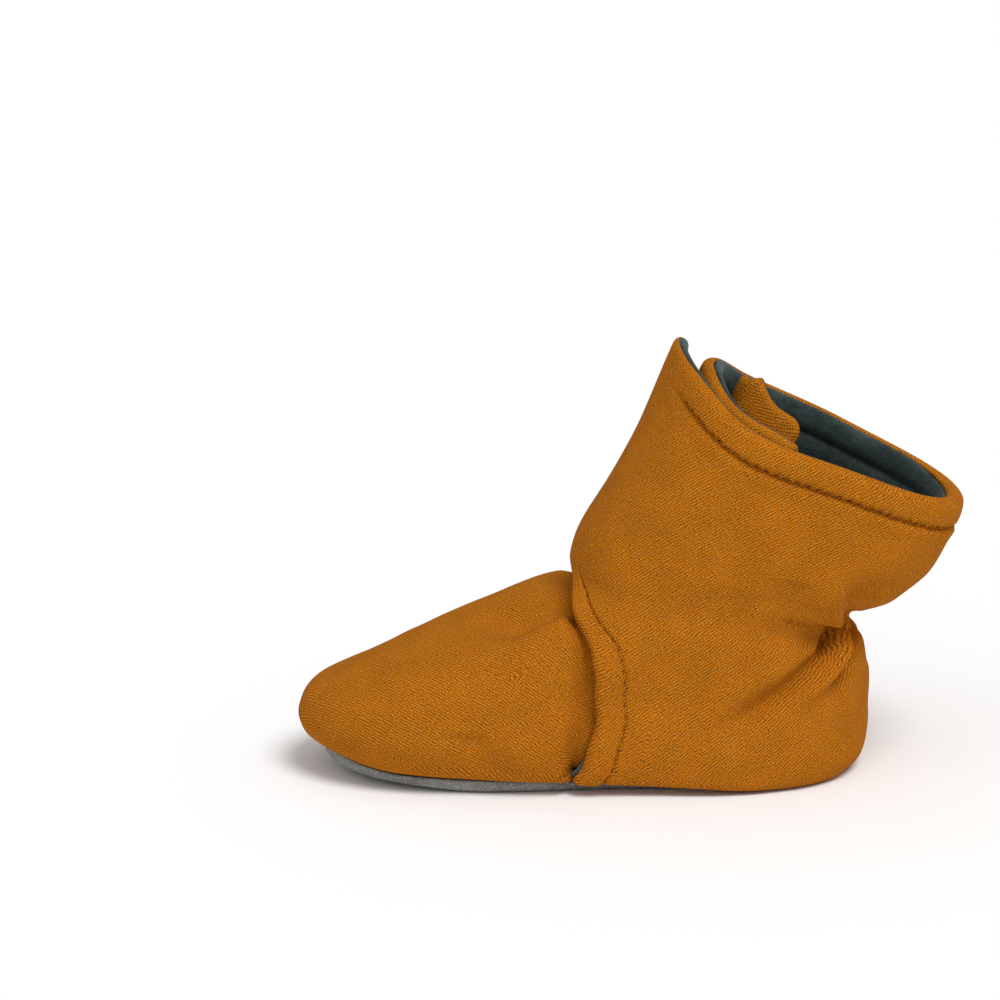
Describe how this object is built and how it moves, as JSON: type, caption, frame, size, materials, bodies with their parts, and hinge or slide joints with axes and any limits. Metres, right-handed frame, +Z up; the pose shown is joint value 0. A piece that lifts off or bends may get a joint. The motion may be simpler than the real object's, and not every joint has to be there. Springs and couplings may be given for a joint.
{
  "type": "bootie slipper",
  "caption": "Baby's soft wrap bootie slipper: padded knit shaft and toe piece, fleece lining, crossed front flaps with a hidden hook and loop closure, and a flat grip sole.",
  "frame": {"origin": "on the floor under the middle of the heel, on the sole's flat underside", "axes": "+X to the toe, +Y to the inner (medial) side of this right shoe, +Z up; the shoe stands on Z = 0"},
  "size_m": [0.1276, 0.055, 0.0828],
  "materials": {
    "knit": "matt mustard sweatshirt knit",
    "fleece": "brushed dark green-grey fleece",
    "grip_sole": "grey coated weave with rubber dots",
    "tape": "black hook and loop tape"
  },
  "bodies": {
    "root": {"outsole": "grip_sole", "insole": "fleece", "upper_wrap": "knit", "upper_toe_tongue": "knit", "hook_tape": "tape", "loop_tape": "tape"}
  },
  "joints": []
}
